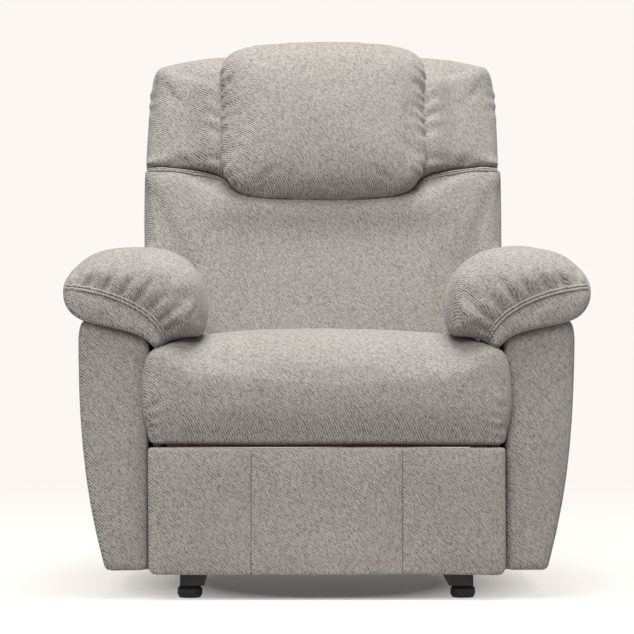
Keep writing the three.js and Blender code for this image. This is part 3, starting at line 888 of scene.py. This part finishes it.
def arm_pillow(word, side):
    """The fat arm pillow: its inner edge lies on the seat, and its front is gathered above a double seam."""
    low, high = box_of(f"arm_pad_{word}")
    inner, outer = inner_outer(low, high)
    rest, top = low[2], high[2]
    crest = inner + 129 * mm
    arm_front = box_of(f"arm_front_cover_{word}")[0][1]
    seat_half, _, seat_top = box_of("seat_cushion")[1]
    front, rear = low[1] + 2 * mm, high[1] - 4 * mm
    tuck = seat_half - 10 * mm
    tuck_z = seat_crown(tuck, seat_half, seat_top) - 3 * mm

    def on_seat(x):
        return float(seat_crown(x, seat_half, seat_top)) + 0.5 * mm

    # Front view as (|x|, z), from the crest round the outside and back along the seat.
    around = [
        (crest, top - 3 * mm), (crest + 42 * mm, top - 6 * mm), (crest + 81 * mm, top - 17 * mm),
        (outer - 15 * mm, top - 41 * mm), (outer + 3 * mm, top - 68 * mm), (outer + 2 * mm, rest + 54 * mm),
        (outer - 9 * mm, rest + 31 * mm), (outer - 32 * mm, rest + 15 * mm), (outer - 76 * mm, rest + 6 * mm),
        (outer - 115 * mm, rest - 3 * mm), (tuck + 24 * mm, rest - 14 * mm), (tuck + 8 * mm, rest - 27 * mm),
        (tuck - 2 * mm, tuck_z - 4 * mm),
        *[(x, on_seat(x)) for x in (tuck - 25 * mm, tuck - 54 * mm, inner + 9 * mm)],
        (inner + 1 * mm, rest + 18 * mm), (inner + 2 * mm, rest + 56 * mm), (inner + 10 * mm, rest + 93 * mm),
        (inner + 31 * mm, rest + 121 * mm), (inner + 65 * mm, top - 9 * mm), (inner + 98 * mm, top - 4 * mm),
    ]
    whole = smooth_outline(around, 240)

    def outline_at(t):
        y = front + (rear - front) * t
        ring = whole.copy()
        taper = 24 * mm * float(smoothstep(t, 0.05, 1.0))
        ring[:, 0] += taper * (outer - ring[:, 0]) / (outer - inner)
        if y > arm_front - 3 * mm:
            lift = rest + 1.2 * mm - np.clip(seat_half + 4 * mm - ring[:, 0], 0, None) * 2.5
            ring[:, 1] = np.maximum(ring[:, 1], lift)
        return ring * np.array([side, 1])

    height = (whole[:, 1] - rest) / (top - rest)
    on_cushion = smoothstep(whole[:, 0], seat_half + 5 * mm, seat_half - 50 * mm)
    round_front = (10 + np.maximum(58 * smoothstep(height, 0.1, 0.9), 46 * on_cushion)) * mm
    centre = np.array([side * (crest + 8 * mm), rest + 72 * mm])
    pad = loft(f"arm_pillow_{word}", outline_at, front, rear, round_front, 42 * mm, 4 * mm, 8 * mm,
               step=6 * mm, rounds=9, centre=centre)
    stuff(pad, 3.6 * mm, lambda co: smoothstep(co[:, 2], rest + 14 * mm, rest + 2 * mm), 7 * mm)

    seam = bezier((outer - 3 * mm, rest + 77 * mm), (outer - 70 * mm, rest + 76 * mm),
                  (seat_half - 24 * mm, rest + 40 * mm), (seat_half - 28 * mm, rest - 27 * mm))
    seam = seam * np.array([side, 1])
    gather_front(pad, side, seam, top)
    ripple(pad, 1.3 * mm, 120 * mm, seed=11 if side < 0 else 12)

    path = [(x, front, z) for x, z in seam[1:] if z > on_seat(x) + 8 * mm]
    for piece in felled_seam(f"arm_pillow_seam_{word}", pad, path, 2.9 * mm, 2.7 * mm):
        trim(piece, "base")
    upholstered(pad, "base", 0.85, f"arm_pad_{word}")


# ---------------------------------------------------------------- seat and footrest

def seat_cushion():
    """The seat rests on the webbing, laps over the rails at both sides and has a thick rounded front."""
    low, high = box_of("seat_cushion")
    springs = box_of("seat_webbing")[1][2] + 1.2 * mm
    rail_low, rail_high = box_of("seat_front_rail")
    rail_front, rail_end = rail_low[1], rail_high[0]
    arm_front = box_of("arm_front_cover_right")[0][1]
    half, bottom, top = high[0], low[2], high[2]
    front, rear = low[1] + 4 * mm, high[1] - 6 * mm

    def outline_at(t):
        y = front + (rear - front) * t
        bulge = 17 * mm * float(1 - smoothstep(y, arm_front - 22 * mm, arm_front - 6 * mm))
        lip = y < rail_front - 12 * mm
        skirt = bottom - (4.5 * mm if lip else 42 * mm)
        base = skirt if lip else springs
        middle = (base + top) / 2
        crown = [(share * half, seat_crown(share * half, half, top), radius)
                 for share, radius in ((0, 0.1 * mm), (0.5, 60 * mm), (0.88, 50 * mm))]
        edge = [
            (half + 3 * mm + 0.3 * bulge, top - 28 * mm, 20 * mm), (half + bulge, middle + 20 * mm, 60 * mm),
            (half + bulge, middle - 40 * mm, 60 * mm), (half - 2 * mm + 0.3 * bulge, skirt, 4 * mm),
            (rail_end + 11 * mm, skirt, 3 * mm), (rail_end + 10 * mm, base, 3 * mm),
        ]
        return rounded_outline(mirrored(crown + edge), 360)

    whole = outline_at(0.0)
    height = (whole[:, 1] - bottom) / (top - bottom)
    along = np.abs(whole[:, 0]) / half
    square_end = 1 - 0.85 * smoothstep(along, 0.72, 0.97)
    round_front = (12 + 66 * smoothstep(height, 0.35, 0.98) * square_end) * mm
    cushion = loft("seat_upholstery", outline_at, front, rear, round_front, 22 * mm, 5 * mm, 4 * mm,
                   step=7 * mm, rounds=10, centre=np.array([0, (top + bottom) / 2]))

    def hold(co):
        low_edge = smoothstep(co[:, 2], bottom + 22 * mm, bottom + 6 * mm)
        return np.maximum(low_edge, smoothstep(co[:, 1], rail_front + 40 * mm, rail_front + 200 * mm))

    stuff(cushion, 4.2 * mm, hold, 7 * mm)
    co = vertex_array(cushion)
    rear_lean = 0.24 * smoothstep(co[:, 1], 0.0, rear - 20 * mm)
    co[:, 1] += rear_lean * np.clip(co[:, 2] - springs, 0, None)
    overhang = smoothstep(co[:, 1], rail_front, rail_front - 30 * mm)
    co[:, 1] += 7 * mm * overhang * smoothstep(co[:, 2], bottom + 70 * mm, bottom)
    normal = normal_array(cushion)
    facing = front_facing(cushion, 0.5)
    # Short gathers where the front panel is drawn in at its lower corners.
    gathers = [((half - 4 * mm, bottom + rise * mm), (-length * mm, 0.28 * length * mm), 3.2 * mm)
               for rise, length in ((6, 26), (24, 34), (44, 30), (66, 22))]
    co = crease_pairs(co, normal, facing, 4.5 * mm, gathers)
    set_vertices(cushion, co)
    ripple(cushion, 1.4 * mm, 210 * mm, seed=21)
    upholstered(cushion, "seat", 0.8, "seat_cushion")


def footrest_pad():
    """The footrest's cover: three padded panels between two seams, wrapped round its board."""
    low, high = box_of("footrest_pad")
    board_low, board_high = box_of("footrest_board")
    half = high[0] + 4 * mm
    channel = 0.43 * high[0]
    edge = high[2] - 2.5 * mm
    corners = [(0, edge, 0.1 * mm), (half, edge, 4 * mm), (half, low[2] + 9 * mm, 7 * mm),
               (half - 8 * mm, low[2], 5 * mm)]
    ring = rounded_outline(mirrored(corners), 420)
    pad = loft("footrest_upholstery", lambda t: ring, low[1] + 5 * mm, board_high[1] - 1 * mm, 6 * mm, 3 * mm,
               step=8 * mm)
    even_mesh(pad, 3.2 * mm, 2)

    co = vertex_array(pad)
    near = np.abs(np.abs(co[:, 0]) - channel)
    beside = np.minimum(near, half - np.abs(co[:, 0]))
    updown = np.minimum(edge - co[:, 2], co[:, 2] - low[2])
    swell = 4 * mm * (1 - np.exp(-((beside / (26 * mm)) ** 2))) * (1 - np.exp(-((updown / (24 * mm)) ** 2)))
    sink = 2.4 * mm * np.exp(-((near / (2.6 * mm)) ** 2))
    co[:, 1] += (sink - swell) * front_facing(pad, 0.5)
    set_vertices(pad, co)
    ripple(pad, 0.8 * mm, 160 * mm, seed=31)
    for word, side in sides:
        path = [(side * channel, low[1], z) for z in np.linspace(low[2] + 3 * mm, edge - 3 * mm, 60)]
        line, _ = on_surface(pad, path, (0, 1, 0), 0.1 * mm)
        trim(tube(f"footrest_seam_{word}", smooth_path(line), 0.9 * mm, thread), "footrest")
    margin = 0.4 * mm
    past_rear = np.array([0, 5 * mm, 0])
    boolean(pad, box_mesh(board_low - margin, board_high + margin + past_rear))
    upholstered(pad, "footrest", 0.9, "footrest_pad")


# ---------------------------------------------------------------- back, in its own upright frame

back_joint = next(joint for joint in frame["joints"] if joint["name"] == "back_recline")
back_hinge = Vector(back_joint["pos_m"])
back_lean = Matrix.Rotation(math.radians(-15), 4, "X")
to_world = Matrix.Translation((0, back_hinge.y, back_hinge.z)) @ back_lean
to_back = to_world.inverted()


def back_points(node):
    """A CAD node's corners, measured upright from the back's hinge."""
    obj = frame["nodes"][node]
    matrix = to_back @ obj.matrix_world
    return np.array([tuple(matrix @ vertex.co) for vertex in obj.data.vertices])


def back_box(node):
    points = back_points(node)
    return points.min(0), points.max(0)


def back_waist():
    """Half the back's width between the arms, and the height where the cloth starts to widen above them."""
    across, _, level = np.abs(back_points("back_lower_cushion")).T
    half = across[level < level.min() + 0.1 * mm].max()
    notch = level[np.abs(across - half) < 0.1 * mm].max()
    return round(half, 5), round(notch, 5) + 7 * mm


def lean_into_place(obj):
    obj.data.transform(to_world)
    obj.data.update()


def set_in_back(obj, node):
    """Hollows a piece of the back for the posts and rails, and leans it into place."""
    boolean(obj, back_pocket())
    lean_into_place(obj)
    upholstered(obj, "back", 0.8, node)


def wing_seam(half, seam):
    """The seam under the shoulders as (|x|, z) from the outer edge to behind the headrest."""
    return [(half, seam - 4 * mm), (half - 40 * mm, seam - 3 * mm), (half - 88 * mm, seam - 8 * mm),
            (half - 128 * mm, seam - 16 * mm), (half - 152 * mm, seam - 24 * mm),
            (half - 170 * mm, seam - 43 * mm), (half - 200 * mm, seam - 47 * mm)]


def back_pocket():
    """The space inside the upholstery for the back's posts, rails and hinge plates."""
    low, high = back_box("back_post_right")
    plate = back_box("back_hinge_plate_right")[0][0]
    margin = 0.5 * mm
    reach = abs(plate) + 6 * mm
    return box_mesh((-reach, low[1] - margin, low[2] - margin), (reach, high[1] + margin, high[2] + 2 * mm))


def shoulder_line(half, seam, top):
    """The edge from the middle of the top down to just above the seam, as (|x|, z, corner radius)."""
    return [(0, top + 10 * mm, 0.1 * mm), (half - 138 * mm, top + 9 * mm, 60 * mm),
            (half - 78 * mm, top, 60 * mm), (half - 14 * mm, top - 17 * mm, 34 * mm),
            (half - 10 * mm, top - 60 * mm, 20 * mm), (half - 4 * mm, seam + 70 * mm, 60 * mm)]


def shoulders():
    """The upper back, filled up beside the headrest that pulls creases into it."""
    low, high = back_box("shoulder_cushion")
    half, seam, top = high[0] + 3 * mm, low[2], high[2]
    middle = np.array([0, (seam + top) / 2 - 10 * mm])
    lower_edge = [(x, z + 0.6 * mm, 8 * mm) for x, z in wing_seam(half, seam)]
    ring = rounded_outline(mirrored(shoulder_line(half, seam, top) + lower_edge), 440)
    seam_near = smoothstep(ring[:, 1], seam + 24 * mm, seam)
    round_front = (34 - 27 * seam_near) * mm
    cushion = loft("shoulder_upholstery", lambda t: ring, low[1] + 5 * mm, -0.5 * mm, round_front, 3 * mm,
                   6 * mm, 0, step=8 * mm, rounds=9, centre=middle)

    def hold(co):
        return np.maximum(smoothstep(co[:, 1], -40 * mm, -20 * mm), smoothstep(co[:, 2], seam + 8 * mm, seam))

    stuff(cushion, 4 * mm, hold, 8 * mm)
    co = vertex_array(cushion)
    normal = normal_array(cushion)
    facing = np.clip(front_facing(cushion) + 0.2, 0, 1)
    pillow = back_box("headrest_pillow")[1][0]
    beside = np.exp(-((np.abs(co[:, 0]) - pillow - 12 * mm) / (34 * mm)) ** 2)
    beside *= smoothstep(co[:, 2], top - 6 * mm, top - 60 * mm)
    co[:, 1] -= 24 * mm * beside * front_facing(cushion, 0.6)
    # Creases that the tight headrest draws out of the shoulders, as (rise, length, lean in degrees, depth).
    pulls = ((56, 30, 38, 2.6), (88, 44, 36, 3.6), (118, 34, 46, 3.2), (152, 26, 50, 2.2))
    marks = []
    for rise, length, lean, depth in pulls:
        angle = math.radians(lean)
        run = (length * mm * math.cos(angle), length * mm * math.sin(angle))
        marks.append(((pillow + 4 * mm, seam + rise * mm), run, depth * mm))
    at_seam = ((half - 80 * mm, seam - 4 * mm), (32 * mm, 30 * mm), 3 * mm)
    co = crease_pairs(co, normal, facing, 7 * mm, [*marks, at_seam])
    # Short folds at the outer edge, as (rise, length, slope up or down).
    folds = [((half + 2 * mm, seam + rise * mm), (-length * mm, up * mm), 2.4 * mm)
             for rise, length, up in ((126, 30, -6), (146, 36, 4), (168, 26, 8))]
    co = crease_pairs(co, normal, np.clip(facing + 0.4, 0, 1), 6 * mm, folds)
    set_vertices(cushion, co)
    ripple(cushion, 1.5 * mm, 150 * mm, seed=41)
    set_in_back(cushion, "shoulder_cushion")


def lower_back():
    """The lower back: narrow between the arms, full width above them, with the wing seams along its top."""
    low = back_box("back_lower_cushion")[0]
    shoulder_low, shoulder_high = back_box("shoulder_cushion")
    half, seam = shoulder_high[0] + 3 * mm, shoulder_low[2]
    waist, wing = back_waist()
    right = [
        (0, seam - 47.6 * mm, 0.1 * mm),
        *[(x, z - 0.6 * mm, 8 * mm) for x, z in wing_seam(half, seam)[::-1]],
        (half + 4 * mm, wing + 8 * mm, 12 * mm), (half + 1 * mm, wing, 8 * mm),
        (waist, wing - 7 * mm, 8 * mm), (waist, low[2] + 2 * mm, 14 * mm),
    ]
    ring = rounded_outline(mirrored(right), 440)
    round_front = (26 - 19 * smoothstep(ring[:, 1], seam - 60 * mm, seam - 20 * mm)) * mm
    round_front = np.where(ring[:, 1] < wing + 30 * mm, 7 * mm, round_front)
    cushion = loft("lower_back_upholstery", lambda t: ring, low[1] + 5 * mm, -0.5 * mm, round_front, 3 * mm,
                   5 * mm, 0, step=8 * mm, rounds=8, centre=np.array([0, wing + 70 * mm]))

    def hold(co):
        return np.maximum(smoothstep(co[:, 1], -40 * mm, -20 * mm),
                          smoothstep(co[:, 2], seam - 14 * mm, seam - 4 * mm))

    stuff(cushion, 4.2 * mm, hold, 6 * mm)
    co = vertex_array(cushion)
    normal = normal_array(cushion)
    facing = front_facing(cushion)
    # The cloth swells out just below the headrest.
    pillow_bottom = back_box("headrest_pillow")[0][2]
    below = np.exp(-((co[:, 2] - pillow_bottom + 12 * mm) / (40 * mm)) ** 2)
    below *= smoothstep(np.abs(co[:, 0]), 300 * mm, 150 * mm)
    co[:, 1] -= 14 * mm * below * facing
    # A soft hollow under each end of the headrest.
    hollow = ((half - 96 * mm, seam - 26 * mm), (-40 * mm, -16 * mm), 3 * mm)
    co = crease_pairs(co, normal, facing, 9 * mm, [hollow])
    set_vertices(cushion, co)
    ripple(cushion, 1.3 * mm, 190 * mm, seed=42)

    for word, side in sides:
        line = smooth_outline(wing_seam(half, seam)[:-1], 90, False)
        path = [(side * x, low[1], z - 8 * mm) for x, z in line]
        for piece in felled_seam(f"wing_seam_{word}", cushion, path[3:], 2.3 * mm, 2.0 * mm):
            lean_into_place(piece)
            trim(piece, "back")
    set_in_back(cushion, "back_lower_cushion")


def headrest():
    """The headrest pillow, gathered along the upper half of its side seams."""
    low, high = back_box("headrest_pillow")
    half, bottom, top = high[0], low[2], high[2]
    right = [
        (0, top + 11 * mm), (66 * mm, top + 10 * mm), (half - 81 * mm, top + 5 * mm),
        (half - 36 * mm, top - 6 * mm), (half - 9 * mm, top - 25 * mm), (half + 1 * mm, top - 54 * mm),
        (half + 2 * mm, top - 96 * mm), (half - 1 * mm, bottom + 150 * mm), (half - 1 * mm, bottom + 92 * mm),
        (half - 9 * mm, bottom + 48 * mm), (half - 38 * mm, bottom + 14 * mm),
        (half - 96 * mm, bottom + 2 * mm), (half - 156 * mm, bottom - 1 * mm), (0, bottom - 2 * mm),
    ]
    ring = smooth_outline(mirrored(right), 340)
    height = (ring[:, 1] - bottom) / (top - bottom)
    round_front = (34 + 12 * smoothstep(height, 0.75, 1.0) + 6 * smoothstep(height, 0.2, 0.0)) * mm
    middle = np.array([0, (bottom + top) / 2])
    pillow = loft("headrest_upholstery", lambda t: ring, low[1] + 3 * mm, high[1] + 2 * mm, round_front,
                  12 * mm, 19 * mm, 2 * mm, step=7 * mm, rounds=10, centre=middle)
    stuff(pillow, 3.6 * mm, lambda co: smoothstep(co[:, 1], high[1] - 12 * mm, high[1] - 4 * mm), 8 * mm)
    co = vertex_array(pillow)
    normal = normal_array(pillow)
    facing = np.clip(-normal[:, 1] + 0.55, 0, 1)
    # Each gather is (drop below the top, length, slope, depth).
    gathers = ((50, 34, 1.0, 2.8), (72, 38, 1.0, 3.4), (104, 36, 1.0, 4.0), (121, 22, 0.9, 2.4),
               (148, 32, 0.9, 3.8), (166, 34, 0.75, 3.4), (193, 26, 0.6, 2.6))
    for side in (-1, 1):
        for drop, length, slope, depth in gathers:
            root = np.array([side * (half - 1 * mm), top - (drop + 3 * side) * mm])
            tip = root + np.array([-side, slope]) * length * 0.74 * mm
            co = crease(co, normal, root, tip, 4.6 * mm, depth * mm, facing)
    # Two small folds at each lower corner.
    folds = [((half - 6 * mm, bottom + rise * mm), (-length * mm, 0.8 * length * mm), 2.2 * mm)
             for rise, length in ((60, 24), (34, 30))]
    co = crease_pairs(co, normal, facing, 5 * mm, folds)
    set_vertices(pillow, co)
    ripple(pillow, 1.4 * mm, 140 * mm, seed=43)
    lean_into_place(pillow)
    upholstered(pillow, "back", 0.85, "headrest_pillow")


def rear_cover():
    """The rear of the back, one panel with soft edges on the same outline as the front pieces."""
    low, high = back_box("back_rear_cover")
    shoulder_low, shoulder_high = back_box("shoulder_cushion")
    half, seam, top = shoulder_high[0] + 3 * mm, shoulder_low[2], shoulder_high[2]
    waist, wing = back_waist()
    right = [
        *shoulder_line(half, seam, top), (half, seam - 4 * mm, 20 * mm), (half, wing + 8 * mm, 12 * mm),
        (half - 3 * mm, wing, 8 * mm), (waist, wing - 7 * mm, 8 * mm), (waist, low[2] + 2 * mm, 14 * mm),
    ]
    ring = rounded_outline(mirrored(right), 400)
    cover = loft("rear_cover_upholstery", lambda t: ring, 0.5 * mm, high[1] - 1 * mm, 3 * mm, 24 * mm, 0,
                 8 * mm, step=9 * mm, rounds=8, centre=np.array([0, wing + 70 * mm]))
    even_mesh(cover, 6 * mm, 4)
    ripple(cover, 1.2 * mm, 220 * mm, seed=44)
    set_in_back(cover, "back_rear_cover")


# ---------------------------------------------------------------- hard parts

def dress_frame_nodes():
    """Every CAD node that stays in view gets its slot's material and softly broken edges."""
    for subpart in frame["record"]["subparts"]:
        obj = frame["nodes"][subpart["node"]]
        chosen = slot_materials.get(subpart["material_slot"], fabric)
        obj.data.materials.clear()
        obj.data.materials.append(chosen)
        if chosen is not fabric and subpart["node"] != "release_cable":
            edge = obj.modifiers.new("broken_edge", "BEVEL")
            edge.width = 0.7 * mm
            edge.segments = 2
            edge.limit_method = "ANGLE"
            edge.angle_limit = math.radians(50)


def release_bezel():
    """A raised moulded frame round the mouth of the release cup."""
    low, high = box_of("release_cup")
    face = low[0]
    centre = (low + high) / 2
    half = (high - low) / 2
    # Each point of the moulding is (how far outside the cup's edge, how far proud of its face), in mm.
    profile = ((-1.0, 1.5), (-1.0, 2.6), (2.0, 3.2), (5.0, 3.0), (7.5, 1.6), (8.5, 0.2), (8.5, -1.0),
               (-1.0, -1.0))
    quarters = ((1, 1), (1, -1), (-1, -1), (-1, 1))
    ring = rounded_outline([(half[1] * y, half[2] * z, 6 * mm) for y, z in quarters], 120)
    verts, faces = [], []
    for out, proud in profile:
        for y, z in inset(ring, -out * mm):
            verts.append((face - proud * mm, centre[1] + y, centre[2] + z))
    count, layers = len(ring), len(profile)
    for layer in range(layers):
        faces += band_faces(layer * count, (layer + 1) % layers * count, count)
    bezel = mesh_object("release_bezel", verts, faces, slot_materials["plastic"])
    trim(bezel, "base")


# ---------------------------------------------------------------- build

make_camera()
bpy.context.scene.view_settings.view_transform = "Standard"
make_world()
make_lights()
make_floor()
dress_frame_nodes()
for word, side in sides:
    arm_cover(word, side)
    arm_lining(word, side)
    arm_pillow(word, side)
release_bezel()
seat_cushion()
footrest_pad()
lower_back()
shoulders()
headrest()
rear_cover()
